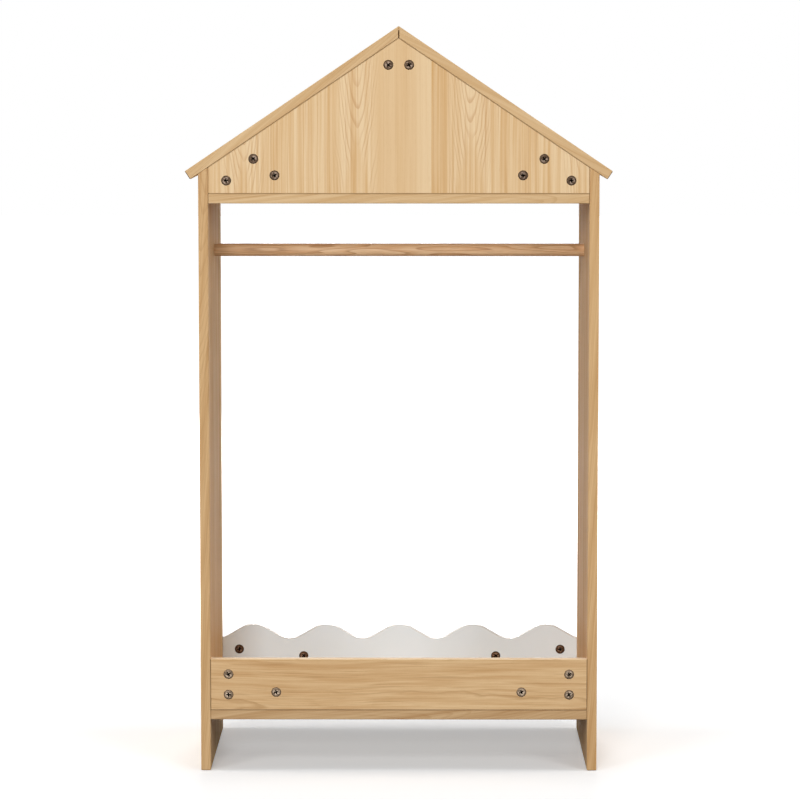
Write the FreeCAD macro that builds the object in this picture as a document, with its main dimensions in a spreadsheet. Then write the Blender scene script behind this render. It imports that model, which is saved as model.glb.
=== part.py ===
import FreeCAD, Part
import math
import os
import Sketcher

# House-shaped open wardrobe for children: boards held by cam locks, bolts and dowels, with a hanging rod.
# Frame: origin on the floor under the middle, +Z up, front at -Y, the closed back at +Y.

Vector = FreeCAD.Vector
document = FreeCAD.newDocument("HouseWardrobe")
sizes = document.addObject("Spreadsheet::Sheet", "Sizes")

# Driving dimensions in millimetres, with the roof's pitch in degrees
dimensions = {
    # carcass
    "board_thickness": 15,
    "edge_chamfer": 1,
    "inside_width": 584,
    "cabinet_depth": 350,
    "leg_height": 80,
    "hanging_height": 785,
    "attic_wall_height": 40,
    "roof_pitch": 34,
    "eave_overhang": 20.5,
    "rail_height": 80,
    # wavy front panel
    "front_height": 80,
    "wave_count": 5,
    "wave_height": 23,
    "wave_end_cut": 8,
    "wave_roundness_share": 0.85,
    # hanging rod and its blind sockets
    "rod_diameter": 20,
    "rod_drop": 80,
    "socket_depth": 10,
    "socket_clearance": 0.1,
    "rod_end_clearance": 0.5,
    # cam lock and its bore
    "cam_diameter": 15,
    "cam_height": 12.2,
    "cam_bore_depth": 12.5,
    "cam_setback": 28,
    "ridge_cam_setback": 25,
    # cam bolt and the channel from the board's edge to the cam
    "bolt_diameter": 6,
    "bolt_thread_length": 11,
    "bolt_head_diameter": 7,
    "bolt_head_length": 3.5,
    "bolt_channel_diameter": 8,
    # dowels
    "dowel_diameter": 8,
    "dowel_face_depth": 11,
    "dowel_edge_depth": 19,
    "ridge_dowel_diameter": 6,
    "ridge_dowel_depth": 10,
    "ridge_dowel_rise": 5.5,
    "ridge_dowel_spread": 120,
    # fits shared by all fittings
    "fit_clearance": 0.1,
    "head_clearance": 0.3,
    "hole_spare": 1,
    "overrun": 1,
    # places of the cams
    "rail_cam_spacing": 32,
    "rail_cam_spread": 190,
    "front_cam_spread": 158,
    "gable_cam_spread": 190,
    "board_cam_spread": 110,
    "gable_side_cam_height": 20,
    "front_side_cam_height": 39,
    "eave_cam_distance": 65,
    "ridge_cam_distance": 36,
}
for row, (alias, value) in enumerate(dimensions.items(), start=1):
    sizes.set(f"A{row}", alias)
    sizes.set(f"B{row}", str(value))
    sizes.setAlias(f"B{row}", alias)
document.recompute()


def number(expression):
    result = sizes.evalExpression(expression)
    return float(getattr(result, "Value", result))


# Levels and places that several pieces share, as expressions on the sheet
board = "Sizes.board_thickness"
half_board = "Sizes.board_thickness / 2"
half_inside = "Sizes.inside_width / 2"
half_depth = "Sizes.cabinet_depth / 2"
back_middle = f"({half_depth} - {half_board})"
front_middle = f"(-{half_depth} + {half_board})"
pitch_rise = "sin(Sizes.roof_pitch)"
pitch_run = "cos(Sizes.roof_pitch)"
floor_top = f"(Sizes.leg_height + {board})"
attic_under = f"({floor_top} + Sizes.hanging_height)"
attic_top = f"({attic_under} + {board})"
wall_top = f"({attic_top} + Sizes.attic_wall_height)"
gable_rise = f"({half_inside} * tan(Sizes.roof_pitch))"
apex = f"({wall_top} + {gable_rise})"
ridge = f"({apex} + {board} / {pitch_run})"


# Sketch and feature helpers
def new_sketch(body, plane_role):
    sketch = body.newObject("Sketcher::SketchObject", "outline")
    plane = next(feature for feature in body.Origin.OriginFeatures if feature.Role == plane_role)
    sketch.AttachmentSupport = (plane, [""])
    sketch.MapMode = "FlatFace"
    return sketch


def pin_point(sketch, geometry, end, x, y):
    for axis, kind, expression in ((-2, "DistanceX", x), (-1, "DistanceY", y)):
        if expression == "0":
            sketch.addConstraint(Sketcher.Constraint("PointOnObject", geometry, end, axis))
            continue
        distance = Sketcher.Constraint(kind, -1, 1, geometry, end, number(expression))
        index = sketch.addConstraint(distance)
        sketch.setExpression(f"Constraints[{index}]", expression)


def add_polygon(sketch, points):
    corners = [Vector(number(x), number(y), 0) for x, y in points]
    for start, end in zip(corners, corners[1:] + corners[:1]):
        sketch.addGeometry(Part.LineSegment(start, end))
    for index, (x, y) in enumerate(points):
        previous = (index - 1) % len(points)
        sketch.addConstraint(Sketcher.Constraint("Coincident", previous, 2, index, 1))
        pin_point(sketch, index, 1, x, y)


def pad_and_ease(body, sketch, length, symmetric=False, keep_sharp=None):
    pad = body.newObject("PartDesign::Pad", "thickness")
    pad.Profile = sketch
    pad.SideType = "Symmetric" if symmetric else "One side"
    pad.setExpression("Length", length)
    document.recompute()
    eased = []
    for index, edge in enumerate(pad.Shape.Edges, start=1):
        if keep_sharp is None or not keep_sharp(edge):
            eased.append(f"Edge{index}")
    chamfer = body.newObject("PartDesign::Chamfer", "eased_edges")
    chamfer.Base = (pad, eased)
    chamfer.setExpression("Size", "Sizes.edge_chamfer")
    body.Tip = chamfer


def place(thing, x, y, z):
    for axis, expression in zip("xyz", (x, y, z)):
        thing.setExpression(f"Placement.Base.{axis}", expression)


# Board blanks, before drilling
half_turn = FreeCAD.Rotation(Vector(0, 0, 1), 180)


def side_blank(name, sign):
    body = document.addObject("PartDesign::Body", name + "_blank")
    sketch = new_sketch(body, "XZ_Plane")
    outer_top = f"{wall_top} - {board} * tan(Sizes.roof_pitch)"
    add_polygon(sketch, [("0", "0"), (board, "0"), (board, outer_top), ("0", wall_top)])
    pad_and_ease(body, sketch, "Sizes.cabinet_depth", symmetric=True)
    if sign < 0:
        body.Placement.Rotation = half_turn
    place(body, f"{sign} * {half_inside}", "0", "0")
    return body


def roof_blank(name, sign):
    body = document.addObject("PartDesign::Body", name + "_blank")
    sketch = new_sketch(body, "XZ_Plane")
    eave_x = f"({half_inside} + {board} + Sizes.eave_overhang)"
    eave_z = f"({ridge} - {eave_x} * tan(Sizes.roof_pitch))"
    eave_under = (f"{eave_x} - {board} * {pitch_rise}", f"{eave_z} - {board} * {pitch_run}")
    add_polygon(sketch, [("0", apex), eave_under, (eave_x, eave_z), ("0", ridge)])
    near_mitre = number(half_board)

    def along_mitre(edge):
        return edge.BoundBox.XMax < near_mitre < edge.BoundBox.YLength

    pad_and_ease(body, sketch, "Sizes.cabinet_depth", symmetric=True, keep_sharp=along_mitre)
    if sign < 0:
        body.Placement.Rotation = half_turn
    return body


def level_board_blank(name, underside):
    body = document.addObject("PartDesign::Body", name + "_blank")
    sketch = new_sketch(body, "XY_Plane")
    width = "Sizes.inside_width"
    depth = "Sizes.cabinet_depth"
    add_polygon(sketch, [("0", "0"), (width, "0"), (width, depth), ("0", depth)])
    pad_and_ease(body, sketch, board)
    place(body, f"-{half_inside}", f"-{half_depth}", underside)
    return body


def gable_blank(name):
    body = document.addObject("PartDesign::Body", name + "_blank")
    sketch = new_sketch(body, "XZ_Plane")
    width = "Sizes.inside_width"
    wall = "Sizes.attic_wall_height"
    peak = (half_inside, f"{wall} + {gable_rise}")
    add_polygon(sketch, [("0", "0"), (width, "0"), (width, wall), peak, ("0", wall)])
    pad_and_ease(body, sketch, board)
    place(body, f"-{half_inside}", half_depth, attic_top)
    return body


def rail_blank(name):
    body = document.addObject("PartDesign::Body", name + "_blank")
    sketch = new_sketch(body, "XZ_Plane")
    width = "Sizes.inside_width"
    height = "Sizes.rail_height"
    add_polygon(sketch, [("0", "0"), (width, "0"), (width, height), ("0", height)])
    pad_and_ease(body, sketch, board)
    place(body, f"-{half_inside}", half_depth, floor_top)
    return body


# The wave is crest and trough arcs of one radius, joined by straight flanks tangent to both.
# The panel ends a little inside the outermost troughs.
def wave_blank(name):
    body = document.addObject("PartDesign::Body", name + "_blank")
    sketch = new_sketch(body, "XZ_Plane")
    count = int(number("Sizes.wave_count"))
    wave_pitch = "((Sizes.inside_width + 2 * Sizes.wave_end_cut) / Sizes.wave_count)"
    half_pitch = f"({wave_pitch} / 2)"
    fullest_radius = f"({half_pitch}^2 + Sizes.wave_height^2) / (4 * Sizes.wave_height)"
    arc_radius = f"(Sizes.wave_roundness_share * {fullest_radius})"
    crest_z = f"Sizes.front_height - {arc_radius}"
    trough_z = f"Sizes.front_height - Sizes.wave_height + {arc_radius}"
    radius = number(arc_radius)
    fall = 2 * radius - number("Sizes.wave_height")
    run = number(half_pitch)
    flank = math.asin(2 * radius / math.hypot(run, fall)) - math.atan2(fall, run)
    end_turn = math.asin(number("Sizes.wave_end_cut") / radius)
    upward = math.pi / 2
    downward = 3 * math.pi / 2

    def add_arc(x, z, start, end):
        circle = Part.Circle(Vector(number(x), number(z), 0), Vector(0, 0, 1), radius)
        arc = sketch.addGeometry(Part.ArcOfCircle(circle, start, end))
        pin_point(sketch, arc, 3, x, z)
        index = sketch.addConstraint(Sketcher.Constraint("Radius", arc, radius))
        sketch.setExpression(f"Constraints[{index}]", arc_radius)
        return arc

    def add_flank(from_arc, from_end, to_arc, to_end):
        start = sketch.getPoint(from_arc, from_end)
        end = sketch.getPoint(to_arc, to_end)
        line = sketch.addGeometry(Part.LineSegment(start, end))
        sketch.addConstraint(Sketcher.Constraint("Tangent", from_arc, from_end, line, 1))
        sketch.addConstraint(Sketcher.Constraint("Tangent", line, 2, to_arc, to_end))

    troughs = []
    for index in range(count + 1):
        start = downward + end_turn if index == 0 else downward - flank
        end = downward - end_turn if index == count else downward + flank
        x = f"{index} * {wave_pitch} - Sizes.wave_end_cut"
        troughs.append(add_arc(x, trough_z, start, end))
    for index in range(count):
        x = f"({index} + 1 / 2) * {wave_pitch} - Sizes.wave_end_cut"
        crest = add_arc(x, crest_z, upward - flank, upward + flank)
        add_flank(troughs[index], 2, crest, 2)
        add_flank(crest, 1, troughs[index + 1], 1)

    width = number("Sizes.inside_width")
    left_end = sketch.getPoint(troughs[0], 1)
    right_end = sketch.getPoint(troughs[-1], 2)
    right = sketch.addGeometry(Part.LineSegment(right_end, Vector(width, 0, 0)))
    bottom = sketch.addGeometry(Part.LineSegment(Vector(width, 0, 0), Vector(0, 0, 0)))
    left = sketch.addGeometry(Part.LineSegment(Vector(0, 0, 0), left_end))
    for one, other in (((troughs[-1], 2), (right, 1)), ((right, 2), (bottom, 1)), ((bottom, 2), (left, 1)),
                       ((left, 2), (troughs[0], 1))):
        sketch.addConstraint(Sketcher.Constraint("Coincident", *one, *other))
    pin_point(sketch, right, 2, "Sizes.inside_width", "0")
    pin_point(sketch, left, 1, "0", "0")
    sketch.addConstraint(Sketcher.Constraint("Vertical", right))
    sketch.addConstraint(Sketcher.Constraint("Vertical", left))
    pad_and_ease(body, sketch, board)
    place(body, f"-{half_inside}", f"-{half_depth} + {board}", floor_top)
    return body


sides = {-1: "left_side_panel", 1: "right_side_panel"}
roofs = {-1: "left_roof_panel", 1: "right_roof_panel"}
blanks = {
    "bottom_board": level_board_blank("bottom_board", "Sizes.leg_height"),
    "attic_floor": level_board_blank("attic_floor", attic_under),
    "gable_back_panel": gable_blank("gable_back_panel"),
    "back_rail": rail_blank("back_rail"),
    "wave_front_panel": wave_blank("wave_front_panel"),
}
for sign in (-1, 1):
    blanks[sides[sign]] = side_blank(sides[sign], sign)
    blanks[roofs[sign]] = roof_blank(roofs[sign], sign)
drills = {name: [] for name in blanks}


# Fittings are modelled in the frame of their joint: origin where the two boards meet,
# Z along the bolt or dowel into the board that holds the cam, X out of that board's bored face
z_to_x = FreeCAD.Rotation(Vector(0, 1, 0), 90)


def round_bar(name, start, length, radius):
    bar = document.addObject("Part::Cylinder", name)
    bar.setExpression("Radius", radius)
    bar.setExpression("Height", length)
    bar.Placement.Rotation = z_to_x
    place(bar, *start)
    return bar


# Small hidden fasteners are six-sided bars, which keeps their faces few
fastener_sides = 6


def sided_bar(name, start, end, radius):
    bar = document.addObject("Part::Prism", name)
    bar.Polygon = fastener_sides
    bar.setExpression("Circumradius", radius)
    bar.setExpression("Height", f"{end} - ({start})")
    place(bar, "0", "0", start)
    return bar


def fused(name, base, tool):
    joined = document.addObject("Part::Fuse", name)
    joined.Base = base
    joined.Tool = tool
    return joined


def grouped(name, pieces):
    group = document.addObject("Part::Compound", name)
    group.Links = pieces
    return group


# A bored barrel, open on the side that the bolt's head enters
def cam_master(name, setback):
    bore_floor = (f"{half_board} - Sizes.cam_bore_depth", "0", setback)
    barrel = round_bar(name + "_barrel", bore_floor, "Sizes.cam_height", "Sizes.cam_diameter / 2")
    mouth_half = "(Sizes.bolt_head_diameter / 2 + Sizes.head_clearance)"
    mouth_start = f"{setback} - Sizes.cam_diameter / 2 - Sizes.overrun"
    mouth_end = f"{setback} + Sizes.bolt_head_length / 2 + Sizes.head_clearance"
    mouth = document.addObject("Part::Box", name + "_mouth")
    mouth.setExpression("Length", f"2 * {mouth_half}")
    mouth.setExpression("Width", f"2 * {mouth_half}")
    mouth.setExpression("Height", f"{mouth_end} - ({mouth_start})")
    place(mouth, f"-{mouth_half}", f"-{mouth_half}", mouth_start)
    cam = document.addObject("Part::Cut", name)
    cam.Base = barrel
    cam.Tool = mouth
    return cam


def bolt_master(name, setback):
    head_start = f"{setback} - Sizes.bolt_head_length / 2"
    head_end = f"{setback} + Sizes.bolt_head_length / 2"
    tip = "-Sizes.bolt_thread_length"
    shank = sided_bar(name + "_shank", tip, head_start, "Sizes.bolt_diameter / 2")
    head = sided_bar(name + "_head", head_start, head_end, "Sizes.bolt_head_diameter / 2")
    return fused(name, shank, head)


def cam_drill_master(name, setback):
    bore_floor = (f"{half_board} - Sizes.cam_bore_depth", "0", setback)
    bore_radius = "Sizes.cam_diameter / 2 + Sizes.fit_clearance"
    bore = round_bar(name + "_bore", bore_floor, "Sizes.cam_bore_depth + Sizes.overrun", bore_radius)
    channel_radius = "Sizes.bolt_channel_diameter / 2"
    channel = sided_bar(name + "_channel", "-Sizes.overrun", setback, channel_radius)
    return fused(name, bore, channel)


def bolt_drill_master(name):
    bottom = "-Sizes.bolt_thread_length - Sizes.hole_spare"
    radius = "Sizes.bolt_diameter / 2 + Sizes.fit_clearance"
    return grouped(name, [sided_bar(name + "_hole", bottom, "Sizes.overrun", radius)])


def fitting_masters(name, setback):
    return {
        "cam": cam_master(name + "_cam", setback),
        "bolt": bolt_master(name + "_bolt", setback),
        "cam_drill": cam_drill_master(name + "_cam_drill", setback),
        "bolt_drill": bolt_drill_master(name + "_bolt_drill"),
    }


def dowel_masters(name, diameter, face_depth, edge_depth):
    start = f"-{face_depth}"
    radius = f"{diameter} / 2"
    hole_end = f"{edge_depth} + Sizes.hole_spare"
    hole_radius = f"{radius} + Sizes.fit_clearance"
    pin = sided_bar(name + "_pin", start, edge_depth, radius)
    hole = sided_bar(name + "_hole", start, hole_end, hole_radius)
    return {"dowel": grouped(name, [pin]), "drill": grouped(name + "_drill", [hole])}


def joint_frame(x, y, z, along, facing):
    return (x, y, z, FreeCAD.Rotation(facing, along.cross(facing), along, "ZXY"))


def place_copy(master, frame):
    x, y, z, rotation = frame
    copy = document.addObject("App::Link", master.Name + "_copy")
    copy.LinkedObject = master
    copy.Placement = FreeCAD.Placement(Vector(0, 0, 0), rotation)
    place(copy, x, y, z)
    return copy


def fit_cams(masters, cam_board, joints):
    cams = []
    bolts = []
    for mate, frame in joints:
        cams.append(place_copy(masters["cam"], frame))
        bolts.append(place_copy(masters["bolt"], frame))
        drills[cam_board].append(place_copy(masters["cam_drill"], frame))
        drills[mate].append(place_copy(masters["bolt_drill"], frame))
    return cams, bolts


def fit_dowels(group, masters, joints):
    dowels = []
    for boards, frame in joints:
        dowels.append(place_copy(masters["dowel"], frame))
        for name in boards:
            drills[name].append(place_copy(masters["drill"], frame))
    nodes[group + "_dowels"] = grouped(group + "_dowels", dowels)


up = Vector(0, 0, 1)
down = Vector(0, 0, -1)
backward = Vector(0, 1, 0)
pitch = math.radians(number("Sizes.roof_pitch"))
nodes = {}


def inward(sign):
    return Vector(-sign, 0, 0)


def under_roof(sign):
    return Vector(-sign * math.sin(pitch), 0, -math.cos(pitch))


def above_eave(sign, distance):
    x = f"{sign} * ({half_inside} - {distance} * {pitch_run})"
    z = f"{wall_top} + {distance} * {pitch_rise}"
    return x, z


def below_ridge(sign, distance):
    x = f"{sign} * {distance} * {pitch_run}"
    z = f"{apex} - {distance} * {pitch_rise}"
    return x, z


# Cam joints of each board: the board that the bolt is screwed into, and the joint's frame
gable_joints = []
ridge_joints = []
rail_joints = []
front_joints = []
bottom_joints = []
attic_joints = []
bottom_middle = f"Sizes.leg_height + {half_board}"
attic_middle = f"{attic_under} + {half_board}"
for sign in (-1, 1):
    side = sides[sign]
    roof = roofs[sign]
    side_face = f"{sign} * {half_inside}"

    cam_z = f"{attic_top} + Sizes.gable_side_cam_height"
    gable_joints.append((side, joint_frame(side_face, back_middle, cam_z, inward(sign), backward)))
    cam_x = f"{sign} * Sizes.gable_cam_spread"
    gable_joints.append(("attic_floor", joint_frame(cam_x, back_middle, attic_top, up, backward)))
    cam_x, cam_z = above_eave(sign, "Sizes.eave_cam_distance")
    gable_joints.append((roof, joint_frame(cam_x, back_middle, cam_z, under_roof(sign), backward)))
    cam_x, cam_z = below_ridge(sign, "Sizes.ridge_cam_distance")
    ridge_joints.append((roof, joint_frame(cam_x, back_middle, cam_z, under_roof(sign), backward)))

    cam_x = f"{sign} * Sizes.rail_cam_spread"
    rail_joints.append(("bottom_board", joint_frame(cam_x, back_middle, floor_top, up, backward)))
    cam_x = f"{sign} * Sizes.front_cam_spread"
    front_joints.append(("bottom_board", joint_frame(cam_x, front_middle, floor_top, up, backward)))
    cam_z = f"{floor_top} + Sizes.front_side_cam_height"
    front_joints.append((side, joint_frame(side_face, front_middle, cam_z, inward(sign), backward)))

    for step in (-1, 1):
        cam_z = f"{floor_top} + (Sizes.rail_height + {step} * Sizes.rail_cam_spacing) / 2"
        rail_joints.append((side, joint_frame(side_face, back_middle, cam_z, inward(sign), backward)))
        cam_y = f"{step} * Sizes.board_cam_spread"
        bottom_joints.append((side, joint_frame(side_face, cam_y, bottom_middle, inward(sign), down)))
        attic_joints.append((side, joint_frame(side_face, cam_y, attic_middle, inward(sign), down)))

fitting = fitting_masters("fitting", "Sizes.cam_setback")
ridge_fitting = fitting_masters("ridge_fitting", "Sizes.ridge_cam_setback")
gable_cams, gable_bolts = fit_cams(fitting, "gable_back_panel", gable_joints)
ridge_cams, ridge_bolts = fit_cams(ridge_fitting, "gable_back_panel", ridge_joints)
nodes["gable_cams"] = grouped("gable_cams", gable_cams + ridge_cams)
nodes["gable_cam_bolts"] = grouped("gable_cam_bolts", gable_bolts)
nodes["ridge_cam_bolts"] = grouped("ridge_cam_bolts", ridge_bolts)
for group, cam_board, joints in (
        ("rail", "back_rail", rail_joints), ("front", "wave_front_panel", front_joints),
        ("bottom_board", "bottom_board", bottom_joints), ("attic_floor", "attic_floor", attic_joints)):
    cams, bolts = fit_cams(fitting, cam_board, joints)
    nodes[group + "_cams"] = grouped(group + "_cams", cams)
    nodes[group + "_cam_bolts"] = grouped(group + "_cam_bolts", bolts)

# Dowel joints: the two boards that share the dowel, and the joint's frame
bottom_pins = []
attic_pins = []
for sign in (-1, 1):
    side = sides[sign]
    side_face = f"{sign} * {half_inside}"
    bottom_frame = joint_frame(side_face, "0", bottom_middle, inward(sign), down)
    bottom_pins.append(((side, "bottom_board"), bottom_frame))
    attic_frame = joint_frame(side_face, "0", attic_middle, inward(sign), down)
    attic_pins.append(((side, "attic_floor"), attic_frame))
ridge_pins = []
for step in (-1, 0, 1):
    pin_y = f"{step} * Sizes.ridge_dowel_spread"
    pin_frame = joint_frame("0", pin_y, f"{apex} + Sizes.ridge_dowel_rise", inward(-1), up)
    ridge_pins.append(((roofs[-1], roofs[1]), pin_frame))

dowel = dowel_masters("dowel", "Sizes.dowel_diameter", "Sizes.dowel_face_depth", "Sizes.dowel_edge_depth")
ridge_dowel = dowel_masters(
    "ridge_dowel", "Sizes.ridge_dowel_diameter", "Sizes.ridge_dowel_depth", "Sizes.ridge_dowel_depth")
fit_dowels("bottom_board", dowel, bottom_pins)
fit_dowels("attic_floor", dowel, attic_pins)
fit_dowels("ridge", ridge_dowel, ridge_pins)

# Hanging rod, free to turn between two blind sockets
rod_radius = "Sizes.rod_diameter / 2"
rod_z = f"{attic_under} - Sizes.rod_drop"
rod_end = f"({half_inside} + Sizes.socket_depth - Sizes.rod_end_clearance)"
nodes["hanging_rod"] = round_bar("hanging_rod", (f"-{rod_end}", "0", rod_z), f"2 * {rod_end}", rod_radius)
socket_radius = f"{rod_radius} + Sizes.socket_clearance"
socket_length = "Sizes.socket_depth + Sizes.overrun"
socket_starts = {-1: f"-{half_inside} - Sizes.socket_depth", 1: f"{half_inside} - Sizes.overrun"}
for sign, start in socket_starts.items():
    socket = round_bar("rod_socket", (start, "0", rod_z), socket_length, socket_radius)
    drills[sides[sign]].append(socket)

# Drill every board
for name, blank in blanks.items():
    board_cut = document.addObject("Part::Cut", name)
    board_cut.Base = blank
    board_cut.Tool = grouped(name + "_drills", drills[name])
    nodes[name] = board_cut
document.recompute()

# Check, then write each sub-part under its own name
for thing in document.Objects:
    if "Invalid" in thing.State or "Error" in thing.State:
        raise RuntimeError(f"{thing.Name} failed: {thing.State}")
for name, blank in blanks.items():
    if not nodes[name].Shape.Volume < blank.Shape.Volume:
        raise RuntimeError(f"{name} was not drilled")
for name, node in nodes.items():
    node.Label = name
    if node.Shape.isNull() or not node.Shape.isValid():
        raise RuntimeError(f"{name} has no valid shape")
os.makedirs("parts", exist_ok=True)
for name, node in nodes.items():
    node.Shape.exportStep(f"parts/{name}.step")
    print(name, len(node.Shape.Solids), round(node.Shape.Volume), node.Shape.BoundBox)
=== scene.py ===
import math

import bpy
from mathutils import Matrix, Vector


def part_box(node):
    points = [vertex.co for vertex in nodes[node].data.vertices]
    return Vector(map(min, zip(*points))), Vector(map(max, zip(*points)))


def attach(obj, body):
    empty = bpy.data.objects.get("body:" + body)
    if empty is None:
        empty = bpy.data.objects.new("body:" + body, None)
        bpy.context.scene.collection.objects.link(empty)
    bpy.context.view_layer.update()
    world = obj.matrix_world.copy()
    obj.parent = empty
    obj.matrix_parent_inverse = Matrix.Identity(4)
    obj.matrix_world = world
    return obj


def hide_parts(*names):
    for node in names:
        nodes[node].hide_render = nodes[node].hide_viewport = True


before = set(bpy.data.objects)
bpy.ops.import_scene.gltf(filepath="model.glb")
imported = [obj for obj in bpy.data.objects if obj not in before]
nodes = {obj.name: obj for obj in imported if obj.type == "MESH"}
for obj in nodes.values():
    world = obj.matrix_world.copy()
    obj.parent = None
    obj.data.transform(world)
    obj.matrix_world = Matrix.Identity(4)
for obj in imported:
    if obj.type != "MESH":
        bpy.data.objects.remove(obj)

# House-shaped kids wardrobe: printed wood boards, white wavy front, zinc cam locks and a round rod.
# Metres, origin on the floor, front at -Y, the photographed back at +Y.
scene = bpy.context.scene
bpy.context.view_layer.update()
weld = 1e-6      # points this near count as one
squareOn = 0.9   # a face counts as square to an axis when its normal has this share along it


# Node tree shorthands
def feed(tree, socket, value):
    if isinstance(value, bpy.types.NodeSocket):
        tree.links.new(value, socket)
    else:
        socket.default_value = value


def calc(tree, operation, *values, clamp=False):
    node = tree.nodes.new("ShaderNodeMath")
    node.operation = operation
    node.use_clamp = clamp
    for socket, value in zip(node.inputs, values):
        feed(tree, socket, value)
    return node.outputs[0]


def plus(tree, first, second, clamp=False):
    return calc(tree, "ADD", first, second, clamp=clamp)


def minus(tree, first, second):
    return calc(tree, "SUBTRACT", first, second)


def times(tree, first, second, clamp=False):
    return calc(tree, "MULTIPLY", first, second, clamp=clamp)


def over(tree, value, limit):
    return calc(tree, "GREATER_THAN", value, limit)


def under(tree, value, limit):
    return calc(tree, "LESS_THAN", value, limit)


def larger(tree, first, second):
    return calc(tree, "MAXIMUM", first, second)


def unsigned(tree, value):
    return calc(tree, "ABSOLUTE", value)


def centred(tree, value):
    # 0 to 1 becomes -0.5 to 0.5
    return minus(tree, value, 0.5)


def vectorCalc(tree, operation, *values):
    node = tree.nodes.new("ShaderNodeVectorMath")
    node.operation = operation
    for socket, value in zip(node.inputs, values):
        feed(tree, socket, value)
    return node.outputs["Value" if operation == "LENGTH" else "Vector"]


def stretch(tree, vector, scale):
    return vectorCalc(tree, "MULTIPLY", vector, scale)


def turnAboutY(tree, vector, angle):
    node = tree.nodes.new("ShaderNodeVectorRotate")
    node.rotation_type = "Y_AXIS"
    feed(tree, node.inputs["Angle"], angle)
    feed(tree, node.inputs["Vector"], vector)
    return node.outputs[0]


# a Mix node has its own sockets for each kind of value
def mixVector(tree, factor, first, second):
    node = tree.nodes.new("ShaderNodeMix")
    node.data_type = "VECTOR"
    for index, value in ((0, factor), (4, first), (5, second)):
        feed(tree, node.inputs[index], value)
    return node.outputs[1]


def mixColor(tree, factor, first, second, mode="MIX"):
    node = tree.nodes.new("ShaderNodeMix")
    node.data_type = "RGBA"
    node.blend_type = mode
    for index, value in ((0, factor), (6, first), (7, second)):
        feed(tree, node.inputs[index], value)
    return node.outputs[2]


def remap(tree, value, low, high, newLow=0.0, newHigh=1.0, smooth=True):
    node = tree.nodes.new("ShaderNodeMapRange")
    node.interpolation_type = "SMOOTHSTEP" if smooth else "LINEAR"
    for index, number in enumerate((value, low, high, newLow, newHigh)):
        feed(tree, node.inputs[index], number)
    return node.outputs[0]


def noise(tree, vector, scale=1.0, detail=2.0, roughness=0.5, distortion=0.0):
    node = tree.nodes.new("ShaderNodeTexNoise")
    feed(tree, node.inputs["Vector"], vector)
    feed(tree, node.inputs["Scale"], scale)
    feed(tree, node.inputs["Detail"], detail)
    feed(tree, node.inputs["Roughness"], roughness)
    feed(tree, node.inputs["Distortion"], distortion)
    return node.outputs[0]


def whiteNoise(tree, value):
    node = tree.nodes.new("ShaderNodeTexWhiteNoise")
    node.noise_dimensions = "1D"
    feed(tree, node.inputs["W"], value)
    return node.outputs["Value"]


def combine(tree, x, y, z):
    node = tree.nodes.new("ShaderNodeCombineXYZ")
    for socket, value in zip(node.inputs, (x, y, z)):
        feed(tree, socket, value)
    return node.outputs[0]


def separate(tree, vector):
    node = tree.nodes.new("ShaderNodeSeparateXYZ")
    feed(tree, node.inputs[0], vector)
    return node.outputs


def coordinates(tree):
    return tree.nodes.new("ShaderNodeTexCoord").outputs


def paint(red, green, blue):
    # display colour, 0 to 255, as the linear colour that a socket takes
    def linear(level):
        level = level / 255
        return level / 12.92 if level <= 0.04045 else ((level + 0.055) / 1.055) ** 2.4
    return linear(red), linear(green), linear(blue), 1.0


def newGroup(name, inputs, outputs):
    tree = bpy.data.node_groups.new(name, "ShaderNodeTree")
    kinds = {"float": "NodeSocketFloat", "vector": "NodeSocketVector", "color": "NodeSocketColor"}
    for label, kind in inputs:
        tree.interface.new_socket(label, in_out="INPUT", socket_type=kinds[kind])
    for label, kind in outputs:
        tree.interface.new_socket(label, in_out="OUTPUT", socket_type=kinds[kind])
    start = tree.nodes.new("NodeGroupInput")
    end = tree.nodes.new("NodeGroupOutput")
    return tree, start.outputs, end.inputs


def useGroup(tree, group, **values):
    node = tree.nodes.new("ShaderNodeGroup")
    node.node_tree = group
    for label, value in values.items():
        feed(tree, node.inputs[label], value)
    return node.outputs


def newMaterial(name):
    material = bpy.data.materials.new(name)
    material.use_nodes = True
    tree = material.node_tree
    shader = tree.nodes["Principled BSDF"]
    return material, tree, shader.inputs


def bump(tree, shader, height, strength, distance):
    node = tree.nodes.new("ShaderNodeBump")
    feed(tree, node.inputs["Strength"], strength)
    feed(tree, node.inputs["Distance"], distance)
    feed(tree, node.inputs["Height"], height)
    feed(tree, shader["Normal"], node.outputs[0])


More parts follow.
